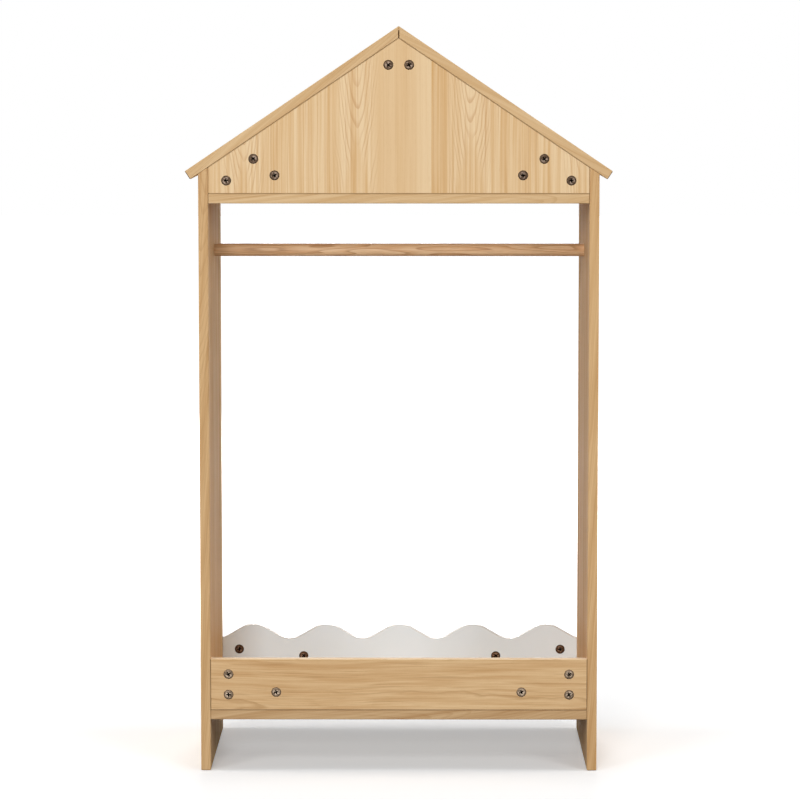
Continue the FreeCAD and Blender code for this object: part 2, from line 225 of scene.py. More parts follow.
# Printed wood, in board axes: X across the grain, Y through the board, Z along the grain
printLook = {
    "edgeTurn": 0.7, "luckSpread": 7.0, "luckStep": 3.7,
    "swayScale": (9.0, 1.0, 4.0), "wobbleScale": (40.0, 1.0, 12.0), "grainRoughness": 0.55,
    "heartWidth": 0.011, "heartCore": 0.4, "figureRise": 0.05, "flankReach": 4.0,
    "ringSoft": (0.5, 0.9), "ringSharp": (0.93, 1.0), "ringSkip": (0.0, 0.45), "ringShare": 0.38,
    "broadScale": (38.0, 1.0, 0.8), "broadRange": (0.34, 0.66), "broadDetail": 2.0, "broadShare": 0.28,
    "streakScale": (150.0, 40.0, 2.2), "streakRange": (0.38, 0.62), "streakDetail": 3.0, "streakShare": 0.5,
    "fineScale": (520.0, 90.0, 4.0), "fineRange": (0.40, 0.62), "fineDetail": 2.0, "fineShare": 0.3,
    "hairScale": (420.0, 200.0, 3.0), "hairRange": (0.57, 0.70), "hairDetail": 2.0, "hairShare": 0.34,
    "poreScale": (2300.0, 2300.0, 70.0), "poreRange": (0.60, 0.74), "poreDetail": 1.0, "poreShare": 0.14,
    "seamRange": (0.26, 0.5), "seamShare": 0.45, "seamPale": 0.35, "seamSkip": (0.1, 0.6),
    "calmRange": (-0.06, 0.1), "calmSkip": (0.1, 0.5), "calmTone": 0.46, "calmShare": 0.7,
    "roughness": (0.5, 0.12), "poreDent": 0.6, "ringDent": 0.4, "bump": (0.25, 0.0003),
}

# what each board sets in its own print
printNumbers = (
    "seed", "plankWidth", "plankOffset", "figureShift", "figureStart", "taper", "ringGap", "figureReach",
    "figure", "drift", "wobble", "streak", "run", "slant", "seamSeed", "calmSeed", "heartPale")
printColors = ("pale", "honey", "bandPale", "bandHoney", "line")


def makeWoodPrint():
    inputs = [("vector", "vector"), ("normal", "vector")]
    inputs += [(label, "float") for label in printNumbers]
    inputs += [(label, "color") for label in printColors]
    outputs = [("color", "color"), ("roughness", "float"), ("height", "float")]
    tree, given, result = newGroup("woodPrint", inputs, outputs)

    # edges and cut ends carry banding, whose grain runs along them
    x, y, z = separate(tree, given["vector"])
    faceX, _, faceZ = separate(tree, given["normal"])
    onEdge = over(tree, unsigned(tree, faceX), printLook["edgeTurn"])
    onEnd = over(tree, unsigned(tree, faceZ), printLook["edgeTurn"])
    board = mixVector(tree, onEdge, given["vector"], combine(tree, y, x, z))
    board = mixVector(tree, onEnd, board, combine(tree, y, z, x))
    straight, through, along = separate(tree, board)
    banded = larger(tree, onEdge, onEnd)

    # planks of the print, each with its own random number
    steps = calc(tree, "DIVIDE", minus(tree, straight, given["plankOffset"]), given["plankWidth"])
    plank = calc(tree, "FLOOR", steps)
    luck = whiteNoise(tree, plus(tree, plank, given["seed"]))
    inPlank = centred(tree, minus(tree, steps, plank))
    shift = plus(tree, given["seed"], times(tree, luck, printLook["luckSpread"]))
    shift = times(tree, shift, printLook["luckStep"])
    deep = plus(tree, through, shift)

    # the grain sways along the board, and crosses the banding at a slant
    sway = noise(tree, stretch(tree, combine(tree, straight, deep, along), printLook["swayScale"]))
    sway = times(tree, centred(tree, sway), given["drift"])
    lean = times(tree, times(tree, banded, given["slant"]), along)
    sway = plus(tree, sway, lean)
    across = plus(tree, straight, sway)
    seeded = combine(tree, across, deep, times(tree, along, given["run"]))

    def grain(label):
        pattern = noise(tree, stretch(tree, seeded, printLook[label + "Scale"]),
                        detail=printLook[label + "Detail"], roughness=printLook["grainRoughness"])
        return remap(tree, pattern, *printLook[label + "Range"])

    # growth rings of a tapering log: nested points near its heart, straight flanks beside it
    fromHeart = minus(tree, times(tree, inPlank, given["plankWidth"]), given["figureShift"])
    fromHeart = unsigned(tree, plus(tree, fromHeart, sway))
    wobble = noise(tree, stretch(tree, combine(tree, across, deep, along), printLook["wobbleScale"]))
    wobble = times(tree, centred(tree, wobble), given["wobble"])
    heart = plus(tree, calc(tree, "POWER", fromHeart, 2.0), printLook["heartWidth"] ** 2)
    heart = calc(tree, "SQRT", heart)
    lift = times(tree, plus(tree, along, luck), given["taper"])
    radius = minus(tree, plus(tree, heart, wobble), lift)
    rings = calc(tree, "DIVIDE", radius, given["ringGap"])
    ring = calc(tree, "FLOOR", rings)
    within = minus(tree, rings, ring)
    ringLuck = whiteNoise(tree, plus(tree, ring, shift))
    dark = remap(tree, within, *printLook["ringSoft"])
    dark = times(tree, dark, remap(tree, within, *printLook["ringSharp"], 1.0, 0.0))
    dark = times(tree, dark, remap(tree, ringLuck, *printLook["ringSkip"]))
    core = times(tree, given["figureReach"], printLook["heartCore"])
    nearHeart = remap(tree, fromHeart, core, given["figureReach"], 1.0, 0.0)
    risen = minus(tree, along, given["figureStart"])
    risen = minus(tree, risen, times(tree, luck, printLook["figureRise"]))
    risen = plus(tree, risen, times(tree, fromHeart, printLook["flankReach"]))
    nearHeart = times(tree, nearHeart, remap(tree, risen, 0.0, printLook["figureRise"]))
    figure = times(tree, times(tree, dark, nearHeart), given["figure"])

    # straight grain: broad bands, streaks and fine streaks
    bands = times(tree, grain("broad"), printLook["broadShare"])
    bands = plus(tree, bands, times(tree, grain("streak"), printLook["streakShare"]))
    bands = plus(tree, bands, times(tree, grain("fine"), printLook["fineShare"]))
    bands = times(tree, bands, given["streak"])

    # some planks are calm on one side of their figure, with fewer hair lines
    calmLuck = whiteNoise(tree, plus(tree, plank, given["calmSeed"]))
    calm = remap(tree, inPlank, *printLook["calmRange"], printLook["calmShare"], 0.0)
    calm = times(tree, calm, remap(tree, calmLuck, *printLook["calmSkip"], 1.0, 0.0))
    bands = calc(tree, "MULTIPLY_ADD", minus(tree, printLook["calmTone"], bands), calm, bands)
    hairs = times(tree, grain("hair"), minus(tree, 1.0, calm))
    pores = grain("pore")

    # some seams are dark on one side and pale on the other, and the figure's heart may be paler
    seamStart, seamEnd = printLook["seamRange"]
    tone = remap(tree, inPlank, seamStart, seamEnd, 0.0, printLook["seamShare"])
    tone = minus(tree, tone, remap(tree, inPlank, -seamEnd, -seamStart, printLook["seamPale"], 0.0))
    seamLuck = whiteNoise(tree, plus(tree, calc(tree, "ROUND", steps), given["seamSeed"]))
    tone = times(tree, tone, remap(tree, seamLuck, *printLook["seamSkip"]))
    tone = minus(tree, tone, times(tree, nearHeart, given["heartPale"]))

    amount = plus(tree, bands, times(tree, tone, minus(tree, 1.0, banded)), clamp=True)
    pale = mixColor(tree, banded, given["pale"], given["bandPale"])
    honey = mixColor(tree, banded, given["honey"], given["bandHoney"])
    color = mixColor(tree, amount, pale, honey)
    color = mixColor(tree, times(tree, figure, printLook["ringShare"], clamp=True), color, given["line"])
    marks = times(tree, hairs, printLook["hairShare"])
    marks = plus(tree, marks, times(tree, pores, printLook["poreShare"]), clamp=True)
    color = mixColor(tree, marks, color, given["line"])
    feed(tree, result["color"], color)
    base, spread = printLook["roughness"]
    feed(tree, result["roughness"], plus(tree, base, times(tree, bands, spread)))
    dents = times(tree, pores, printLook["poreDent"])
    dents = plus(tree, dents, times(tree, figure, printLook["ringDent"]))
    feed(tree, result["height"], minus(tree, 1.0, dents))
    return tree


# Dark line where a board's eased edge meets the next board: partly the dark glue line of the eased edge,
# partly painted shade in the crease between the boards
jointLook = {"eased": (0.3, 0.95), "facing": 0.5, "brown": (96, 66, 34), "slitFade": 0.001, "slitRest": 0.1}


def makeJointGlueAndShade():
    inputs = [("normal", "vector"), ("ends", "float"), ("above", "float"), ("below", "float")]
    tree, given, result = newGroup("jointGlueAndShade", inputs, [("mask", "float")])
    x, y, z = separate(tree, given["normal"])
    leastTurn, mostTurn = jointLook["eased"]
    eased = over(tree, unsigned(tree, y), leastTurn)
    eased = times(tree, eased, under(tree, unsigned(tree, y), mostTurn))
    facing = jointLook["facing"]
    sideways = times(tree, over(tree, unsigned(tree, x), facing), given["ends"])
    upward = times(tree, over(tree, z, facing), given["above"])
    downward = times(tree, under(tree, z, -facing), given["below"])
    meeting = larger(tree, larger(tree, sideways, upward), downward)
    feed(tree, result["mask"], times(tree, eased, meeting))
    return tree


woodPrint = makeWoodPrint()
jointGlueAndShade = makeJointGlueAndShade()


# One board's wood: which way its grain runs and which of its edges meet another board
def boardMaterial(name, look):
    material, tree, shader = newMaterial(name)
    coords = coordinates(tree)
    vector = vectorCalc(tree, "SUBTRACT", coords["Object"], look["centre"])
    normal = coords["Normal"]
    if "pitch" in look:
        vector = turnAboutY(tree, vector, look["pitch"])
        normal = turnAboutY(tree, normal, look["pitch"])
    axes = ["xyz".index(letter) for letter in look["axes"]]
    boardVector = combine(tree, *[separate(tree, vector)[axis] for axis in axes])
    boardNormal = combine(tree, *[separate(tree, normal)[axis] for axis in axes])
    numbers = {label: look[label] for label in printNumbers}
    colors = {label: paint(*look[label]) for label in printColors}
    wood = useGroup(tree, woodPrint, vector=boardVector, normal=boardNormal, **numbers, **colors)

    ends, above, below = look["joints"]
    if "slitTop" in look:
        height = separate(tree, coords["Object"])[2]
        slitFull = look["slitTop"] - jointLook["slitFade"]
        ends = remap(tree, height, slitFull, look["slitTop"], ends, jointLook["slitRest"])
    # painted shade along the joints and down the ridge's slit, over the dark glue line
    seam = useGroup(tree, jointGlueAndShade, normal=coords["Normal"], ends=ends, above=above, below=below)
    color = mixColor(tree, seam["mask"], wood["color"], paint(*jointLook["brown"]))
    feed(tree, shader["Base Color"], color)
    feed(tree, shader["Roughness"], wood["roughness"])
    feed(tree, shader["Specular IOR Level"], look["gloss"])
    bump(tree, shader, wood["height"], *printLook["bump"])
    return material


def dress(node, material):
    slots = nodes[node].data.materials
    slots.clear()
    slots.append(material)


# What all boards share, and what differs from board to board; band is the edge banding
commonWood = {
    "centre": (0, 0, 0), "axes": "xyz", "seed": 1.0, "gloss": 0.012, "joints": (0, 0, 0),
    "plankWidth": 0.174, "plankOffset": -0.05, "figureShift": 0.027, "figureStart": -0.5,
    "taper": 0.13, "ringGap": 0.0042, "figureReach": 0.04, "figure": 0.6, "drift": 0.012,
    "wobble": 0.009, "streak": 0.85, "run": 1.0, "slant": 0.12,
    "seamSeed": 4.0, "calmSeed": 9.0, "heartPale": 0.3,
    "pale": (235, 208, 168), "honey": (211, 170, 117), "line": (168, 122, 74),
    "bandPale": (225, 193, 149), "bandHoney": (203, 164, 115),
}
roofPitch = math.radians(34)
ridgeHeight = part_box("left_roof_panel")[1].z
slitTop = ridgeHeight - 0.006   # the painted shade of the mitre's slit ends just under the ridge
boardLooks = {
    "gable_back_panel": {
        "centre": (0, 0.1675, 0.895), "seed": 3.0, "figureStart": 0.03, "figure": 1.0, "drift": 0.008,
        "seamSeed": 18.5, "calmSeed": 18.0, "pale": (237, 209, 168), "honey": (213, 170, 116),
        "line": (184, 128, 76), "joints": (0.35, 0.45, 0.3)},
    # the left side is painted darker than the right, as shade on its inner face
    "left_side_panel": {
        "axes": "yxz", "seed": 11.0, "plankOffset": 0.06, "run": 1.6, "slant": 0.08,
        "pale": (224, 191, 149), "honey": (199, 152, 102),
        "bandPale": (222, 186, 138), "bandHoney": (196, 151, 100)},
    "right_side_panel": {
        "axes": "yxz", "seed": 17.0, "plankOffset": 0.08, "run": 1.6, "slant": 0.08,
        "pale": (239, 205, 159), "honey": (215, 166, 110),
        "bandPale": (221, 185, 138), "bandHoney": (195, 152, 103)},
    "attic_floor": {
        "axes": "yzx", "centre": (0, 0, 0.8875), "seed": 23.0, "plankOffset": 0.03, "run": 2.0,
        "joints": (0.5, 0.35, 0)},
    "bottom_board": {
        "axes": "yzx", "centre": (0, 0, 0.0875), "seed": 29.0, "plankOffset": 0.05, "run": 2.0,
        "bandPale": (211, 177, 134), "bandHoney": (185, 145, 101), "joints": (0.5, 0.4, 0)},
    "back_rail": {
        "axes": "zyx", "centre": (0, 0.1675, 0.135), "seed": 37.0, "plankOffset": -0.09, "run": 3.0,
        "figureShift": -0.03, "figureReach": 0.034, "taper": 0.035, "ringGap": 0.0065, "streak": 0.8,
        "figure": 1.1, "drift": 0.014, "wobble": 0.022, "heartPale": 0.0,
        "pale": (231, 197, 151), "honey": (202, 158, 108),
        # the rail's top and bottom faces and ends are painted paler, as a highlight along its top edge
        "bandPale": (242, 217, 180), "bandHoney": (228, 194, 148), "joints": (0.85, 0, 0.45)},
    "left_roof_panel": {
        "axes": "yzx", "centre": (0, 0, ridgeHeight), "pitch": roofPitch, "seed": 41.0,
        "slitTop": slitTop, "joints": (1, 0.12, 0.4)},
    "right_roof_panel": {
        "axes": "yzx", "centre": (0, 0, ridgeHeight), "pitch": -roofPitch, "seed": 47.0,
        "slitTop": slitTop, "joints": (1, 0.12, 0.4)},
}
for node, look in boardLooks.items():
    dress(node, boardMaterial(node + "Wood", {**commonWood, **look}))
print("boards dressed:", len(boardLooks))


# White melamine of the wavy front, with a faint orange peel
whiteLook = {
    "back": (235, 245, 252), "front": (243, 244, 245), "band": (232, 230, 227),
    "shade": (252, 252, 251), "cloudScale": 9.0, "cloudDetail": 3.0, "cloudRange": (0.35, 0.7),
    "peelScale": 900.0, "peelDetail": 1.0, "peelRange": (0.2, 0.8), "roughness": (0.42, 0.52),
    "gloss": 0.35, "bump": (0.08, 0.0002),
}


def makeWhiteMelamine():
    material, tree, shader = newMaterial("whiteMelamine")
    coords = coordinates(tree)
    clouds = noise(tree, coords["Object"], scale=whiteLook["cloudScale"], detail=whiteLook["cloudDetail"])
    peel = noise(tree, coords["Object"], scale=whiteLook["peelScale"], detail=whiteLook["peelDetail"])
    facing = separate(tree, coords["Normal"])[1]
    onBand = under(tree, unsigned(tree, facing), squareOn)
    onBack = over(tree, facing, 0.0)
    # the back is painted cooler than the front, to offset the warm light that the wood bounces onto it
    color = mixColor(tree, onBack, paint(*whiteLook["front"]), paint(*whiteLook["back"]))
    # its edges are painted a little greyer than its faces, as shade along the top edge
    color = mixColor(tree, onBand, color, paint(*whiteLook["band"]))
    shaded = remap(tree, clouds, *whiteLook["cloudRange"])
    color = mixColor(tree, shaded, color, paint(*whiteLook["shade"]), "MULTIPLY")
    feed(tree, shader["Base Color"], color)
    feed(tree, shader["Roughness"], remap(tree, peel, *whiteLook["peelRange"], *whiteLook["roughness"]))
    feed(tree, shader["Specular IOR Level"], whiteLook["gloss"])
    bump(tree, shader, peel, *whiteLook["bump"])
    return material


dress("wave_front_panel", makeWhiteMelamine())
print("white front dressed")


# Selecting pieces, faces and edges
def clearSelection():
    if bpy.context.object and bpy.context.object.mode != "OBJECT":
        bpy.ops.object.mode_set(mode="OBJECT")
    bpy.ops.object.select_all(action="DESELECT")


def selectOnly(*pieces):
    clearSelection()
    for piece in pieces:
        piece.select_set(True)
    bpy.context.view_layer.objects.active = pieces[0]


def startPicking(piece, kind):
    # leaves object mode on, with nothing of the mesh selected
    selectOnly(piece)
    bpy.ops.object.mode_set(mode="EDIT")
    bpy.ops.mesh.select_mode(type=kind)
    bpy.ops.mesh.select_all(action="DESELECT")
    bpy.ops.object.mode_set(mode="OBJECT")


def pickFaces(piece, test):
    # leaves edit mode on, with only the faces that pass the test selected
    startPicking(piece, "FACE")
    for face in piece.data.polygons:
        face.select = test(face)
    bpy.ops.object.mode_set(mode="EDIT")


def pickEdges(piece, test):
    # the same for edges, tested by their two ends
    startPicking(piece, "EDGE")
    points = piece.data.vertices
    for edge in piece.data.edges:
        edge.select = test(*[points[index].co for index in edge.vertices])
    bpy.ops.object.mode_set(mode="EDIT")


# Modelling steps that several pieces share
def settle(piece):
    selectOnly(piece)
    bpy.ops.object.transform_apply(location=True, rotation=True, scale=True)


def addCylinder(name, sides, radius, depth, place=(0, 0, 0), turn=(0, 0, 0)):
    clearSelection()
    bpy.ops.mesh.primitive_cylinder_add(
        vertices=sides, radius=radius, depth=depth, location=place, rotation=turn)
    piece = bpy.context.object
    piece.name = name
    settle(piece)
    return piece


def workWith(piece, tool, operation):
    # joins the tool to the piece, or cuts it out, and uses it up
    selectOnly(piece)
    modifier = piece.modifiers.new("work", "BOOLEAN")
    modifier.operation = operation
    modifier.solver = "EXACT"
    modifier.object = tool
    bpy.ops.object.modifier_apply(modifier=modifier.name)
    bpy.data.objects.remove(tool)


def cutCross(piece, level, reach, width, depth, floorShare):
    # two arms sunk from a level, each narrower at its floor
    for turn in (0, math.pi / 2):
        clearSelection()
        bpy.ops.mesh.primitive_cube_add(size=1)
        arm = bpy.context.object
        arm.scale = (reach, width, 2 * depth)
        settle(arm)
        pickFaces(arm, lambda face: face.normal.z < -squareOn)
        bpy.ops.transform.resize(value=(floorShare, floorShare, 1))
        clearSelection()
        arm.rotation_euler = (0, 0, turn)
        arm.location = (0, 0, level)
        settle(arm)
        workWith(piece, arm, "DIFFERENCE")


def smoothBy(piece, degrees):
    selectOnly(piece)
    bpy.ops.object.shade_smooth_by_angle(angle=math.radians(degrees))


# Zinc cam lock, modelled once with its face at the origin, looking up
camLook = {
    "radius": 0.0075, "height": 0.0122, "sides": 64, "shoulder": 0.0011, "shoulderSteps": 4,
    "bottomRound": 0.0004, "bottomSteps": 2, "outerShare": 0.99, "faceSlack": 0.000275, "smoothAngle": 32,
    "crossReach": 0.0088, "crossWidth": 0.0026, "crossDepth": 0.0036, "crossFloorShare": 0.6,
    "crossLip": 0.00025, "boltLevel": -0.0072, "hollowRadius": 0.004, "hollowHeight": 0.0062,
    "slotReach": 0.015, "slotHeight": 0.004, "slotAngle": 75.0,
    "grainScale": 1400.0, "grainDetail": 3.0, "patchScale": 330.0, "stainRange": (0.48, 0.66),
    "stainShare": 0.5, "wearGlintReach": (0.0038, 0.0062), "wearGlintRange": (0.42, 0.53),
    "recessShade": (16, 12, 9), "roughness": (0.36, 0.2), "bump": (0.3, 0.0001),
}


def makeCamLock():
    radius = camLook["radius"]
    height = camLook["height"]
    sides = camLook["sides"]
    cam = addCylinder("camLock", sides, radius, height, (0, 0, -height / 2))

    def onCorner(one, other, level):
        flat = max(abs(one.z - level), abs(other.z - level)) < weld
        return flat and min(one.xy.length, other.xy.length) > radius * camLook["outerShare"]

    pickEdges(cam, lambda one, other: onCorner(one, other, 0))
    bpy.ops.mesh.bevel(offset=camLook["shoulder"], segments=camLook["shoulderSteps"])
    pickEdges(cam, lambda one, other: onCorner(one, other, -height))
    bpy.ops.mesh.bevel(offset=camLook["bottomRound"], segments=camLook["bottomSteps"])

    # cross recess with a shallow worn lip
    reach = camLook["crossReach"]
    width = camLook["crossWidth"]
    lip = camLook["crossLip"]
    cutCross(cam, 0, reach, width, camLook["crossDepth"], camLook["crossFloorShare"])
    cutCross(cam, 0, reach + 2 * lip, width + 2 * lip, lip, 1.0)

    # hollow for the bolt's head, and a slot that lets its neck in from -X while the cam turns
    middle = (0, 0, camLook["boltLevel"])
    hollow = addCylinder("hollow", sides, camLook["hollowRadius"], camLook["hollowHeight"], middle)
    workWith(cam, hollow, "DIFFERENCE")
    slot = addCylinder("slot", sides, camLook["slotReach"], camLook["slotHeight"], middle)
    angle = math.radians(camLook["slotAngle"])
    for sign in (-1, 1):
        pickFaces(slot, lambda face: True)
        bpy.ops.mesh.bisect(
            plane_co=(0, 0, 0), plane_no=(math.sin(angle), sign * math.cos(angle), 0),
            use_fill=True, clear_outer=True)
    workWith(cam, slot, "DIFFERENCE")
    smoothBy(cam, camLook["smoothAngle"])

    # what the zinc reads: the recess, painted dark as shade, the rim and the place on the cam
    recess = cam.data.attributes.new("recess", "FLOAT", "FACE")
    rim = cam.data.attributes.new("rim", "FLOAT", "FACE")
    for face in cam.data.polygons:
        outside = face.center.xy.length > radius - camLook["shoulder"]
        flatTop = face.normal.z > squareOn and face.center.z > -camLook["faceSlack"]
        flatBottom = face.normal.z < -squareOn and face.center.z < -height * camLook["outerShare"]
        rim.data[face.index].value = 1.0 if outside else 0.0
        recess.data[face.index].value = 0.0 if flatTop or flatBottom or outside else 1.0
    place = cam.data.attributes.new("camPlace", "FLOAT_VECTOR", "POINT")
    for vertex in cam.data.vertices:
        place.data[vertex.index].vector = vertex.co
    return cam


# the same plating, painted darker or lighter from group to group for the shade and reflections that each
# group gets
zincShadeTones = {
    "back": {"zinc": (65, 52, 41), "oxide": (44, 33, 24), "worn": (110, 96, 85), "rimShadeShare": 0.15},
    "rail": {"zinc": (104, 88, 72), "oxide": (68, 57, 46), "worn": (166, 149, 131), "rimShadeShare": 0.2},
    "front": {"zinc": (92, 68, 52), "oxide": (50, 33, 23), "worn": (142, 120, 104), "rimShadeShare": 0.8},
}


def makeZinc(name, tone):
    material, tree, shader = newMaterial(name)
    coords = coordinates(tree)

    def attribute(label):
        node = tree.nodes.new("ShaderNodeAttribute")
        node.attribute_name = label
        return node.outputs

    recess = attribute("recess")["Fac"]
    rim = attribute("rim")["Fac"]
    x, y, _ = separate(tree, attribute("camPlace")["Vector"])
    fromAxis = vectorCalc(tree, "LENGTH", combine(tree, x, y, 0.0))
    grain = noise(tree, coords["Object"], scale=camLook["grainScale"], detail=camLook["grainDetail"])
    patches = noise(tree, coords["Object"], scale=camLook["patchScale"])
    stainAndRimShade = times(tree, remap(tree, patches, *camLook["stainRange"]), camLook["stainShare"])
    # the rim is painted darker, as shade in the gap around the cam in its bore, over the oxide patches
    stainAndRimShade = larger(tree, stainAndRimShade, times(tree, rim, tone["rimShadeShare"]))
    # rubbed metal near the cross, painted brighter as glints of reflected light
    wearAndGlint = remap(tree, fromAxis, *camLook["wearGlintReach"], 1.0, 0.0)
    wearAndGlint = times(tree, wearAndGlint, remap(tree, patches, *camLook["wearGlintRange"], 1.0, 0.0))
    color = mixColor(tree, stainAndRimShade, paint(*tone["zinc"]), paint(*tone["oxide"]))
    color = mixColor(tree, wearAndGlint, color, paint(*tone["worn"]))
    # the recess is painted near black and kept from shining below, as shade
    color = mixColor(tree, recess, color, paint(*camLook["recessShade"]))
    feed(tree, shader["Base Color"], color)
    feed(tree, shader["Metallic"], remap(tree, recess, 0.0, 1.0, 1.0, 0.0))
    base, spread = camLook["roughness"]
    feed(tree, shader["Roughness"], plus(tree, base, times(tree, grain, spread)))
    feed(tree, shader["Specular IOR Level"], 0.0)   # no shine in the recess, the only part that isn't metal
    bump(tree, shader, grain, *camLook["bump"])
    return material


# Where the CAD nodes have their cams, bolts and dowels
def looseSolids(node):
    # corners, points and longest edge of each separate solid of a CAD node, read from a copy
    source = nodes[node]
    copy = source.copy()
    copy.data = source.data.copy()
    scene.collection.objects.link(copy)
    selectOnly(copy)
    bpy.ops.object.mode_set(mode="EDIT")
    bpy.ops.mesh.select_all(action="SELECT")
    bpy.ops.mesh.remove_doubles(threshold=weld)
    bpy.ops.mesh.separate(type="LOOSE")
    bpy.ops.object.mode_set(mode="OBJECT")
    parts = list(bpy.context.selected_objects)
    solids = []
    for part in parts:
        points = [vertex.co.copy() for vertex in part.data.vertices]
        low = Vector([min(point[axis] for point in points) for axis in range(3)])
        high = Vector([max(point[axis] for point in points) for axis in range(3)])
        edges = [points[edge.vertices[1]] - points[edge.vertices[0]] for edge in part.data.edges]
        longest = max(edges, key=lambda edge: edge.length)
        solids.append({"low": low, "high": high, "points": points, "longest": longest})
    for part in parts:
        bpy.data.objects.remove(part)
    solids.sort(key=lambda solid: [round(level, 3) for level in solid["low"]])   # to the millimetre
    return solids


boltLook = {
    "sides": 28, "lengthDigits": 5, "endSlack": 0.001, "smoothAngle": 28,
    "thread": 0.011, "pitch": 0.002, "rootRadius": 0.0019, "crestRadius": 0.00258, "threadLead": 1.5,
    "spareTurns": 3, "coreShare": 0.8, "coreReachShare": 0.9,
    "collarRadius": 0.0032, "collarHeight": 0.0012, "neckRadius": 0.0017,
    "headRadius": 0.003, "headLength": 0.0035, "headEase": 0.0005, "headCurve": (0.4, 1.6),
    "driveReach": 0.0034, "driveWidth": 0.0009, "driveDepth": 0.0014, "driveFloorShare": 0.6,
    "bright": (190, 190, 186), "dull": (150, 150, 148), "platingScale": 700.0, "platingRange": (0.3, 0.7),
    "roughness": (0.3, 0.45), "bump": (0.2, 0.0001),
}


def boltPlace(solid):
    # tip, direction to the head and length of one bolt, whose head is its thicker end
    heights = [point.dot(solid["longest"].normalized()) for point in solid["points"]]
    ends = []
    for level in (min(heights), max(heights)):
        ring = []
        for point, height in zip(solid["points"], heights):
            if abs(height - level) < boltLook["endSlack"]:
                ring.append(point)
        centre = sum(ring, Vector()) / len(ring)
        ends.append((max((point - centre).length for point in ring), centre))
    ends.sort(key=lambda end: end[0])
    tip = ends[0][1]
    reach = ends[1][1] - tip
    return tip, reach.normalized(), reach.length


boltNodes = [node for node in nodes if node.endswith("_cam_bolts")]
dowelNodes = [node for node in nodes if node.endswith("_dowels")]
boltPlaces = {node: [boltPlace(solid) for solid in looseSolids(node)] for node in boltNodes}


# Each group of cams: the way its faces look and how far each was turned, in degrees, from -X to +X
camGroups = {
    "gable_cams": {"facing": "back", "tone": "back", "turns": (12, 35, 8, 30, 48, 22, 40, 5)},
    "rail_cams": {"facing": "back", "tone": "rail", "turns": (44, 40, 25, 15, 2, 28)},
    "front_cams": {"facing": "back", "tone": "front", "turns": (8, 30, 38, 4)},
    "bottom_board_cams": {"facing": "down", "tone": "rail", "turns": (10, 33, 20, 41)},
    "attic_floor_cams": {"facing": "down", "tone": "rail", "turns": (26, 5, 37, 18)},
}


def towardBolt(spot):
    # from a cam to the tip of the bolt that it holds
    def headGap(place):
        tip, direction, length = place
        return (tip + direction * length - spot).length

    everyBolt = [place for places in boltPlaces.values() for place in places]
    _, direction, _ = min(everyBolt, key=headGap)
    return -direction


def camTurn(toBolt, facing, turn):
    # the cross at its turn, with the slot within an eighth of a turn of the bolt
    quarter = 90
    if facing == "back":
        bearing = math.degrees(math.atan2(toBolt.z, -toBolt.x))
    else:
        bearing = math.degrees(math.atan2(-toBolt.y, -toBolt.x))
    return math.radians(bearing + (turn - bearing + quarter / 2) % quarter - quarter / 2)


def copyOf(master, material):
    copy = master.copy()
    copy.data = master.data.copy()
    copy.data.materials.append(material)
    scene.collection.objects.link(copy)
    return copy


def gather(copies, name, node):
    # one piece from its copies, in place of the CAD node
    selectOnly(*copies)
    bpy.ops.object.join()
    piece = bpy.context.object
    piece.name = name
    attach(piece, "carcass")
    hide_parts(node)


camMaster = makeCamLock()
zincs = {name: makeZinc(name + "Zinc", tone) for name, tone in zincShadeTones.items()}
for group, look in camGroups.items():
    copies = []
    for solid, turn in zip(looseSolids(group), look["turns"]):
        copy = copyOf(camMaster, zincs[look["tone"]])
        low, high = solid["low"], solid["high"]
        middle = (low + high) / 2
        turned = camTurn(towardBolt(middle), look["facing"], turn)
        if look["facing"] == "back":
            copy.location = (middle.x, high.y, middle.z)
            copy.rotation_euler = (-math.pi / 2, turned, 0)
        else:
            copy.location = (middle.x, middle.y, low.z)
            copy.rotation_euler = (math.pi, 0, turned)
        settle(copy)
        copies.append(copy)
    gather(copies, group.replace("_cams", "_cam_locks"), group)
bpy.data.objects.remove(camMaster)
print("cam locks made:", sum(len(look["turns"]) for look in camGroups.values()))


# Cam bolt along Z, with the joint of the two boards at the origin
def drawUp(name, sides, outline):
    # a round body, drawn up from a filled circle through heights and radii
    height, radius = outline[0]
    clearSelection()
    bpy.ops.mesh.primitive_circle_add(
        vertices=sides, radius=radius, fill_type="NGON", location=(0, 0, height))
    body = bpy.context.object
    body.name = name
    settle(body)
    pickFaces(body, lambda face: True)
    for nextHeight, nextRadius in outline[1:]:
        bpy.ops.mesh.extrude_region_move(TRANSFORM_OT_translate={"value": (0, 0, nextHeight - height)})
        share = nextRadius / radius
        bpy.ops.transform.resize(value=(share, share, 1))
        height, radius = nextHeight, nextRadius
    bpy.ops.mesh.select_all(action="SELECT")
    bpy.ops.mesh.normals_make_consistent(inside=False)
    clearSelection()
    return body


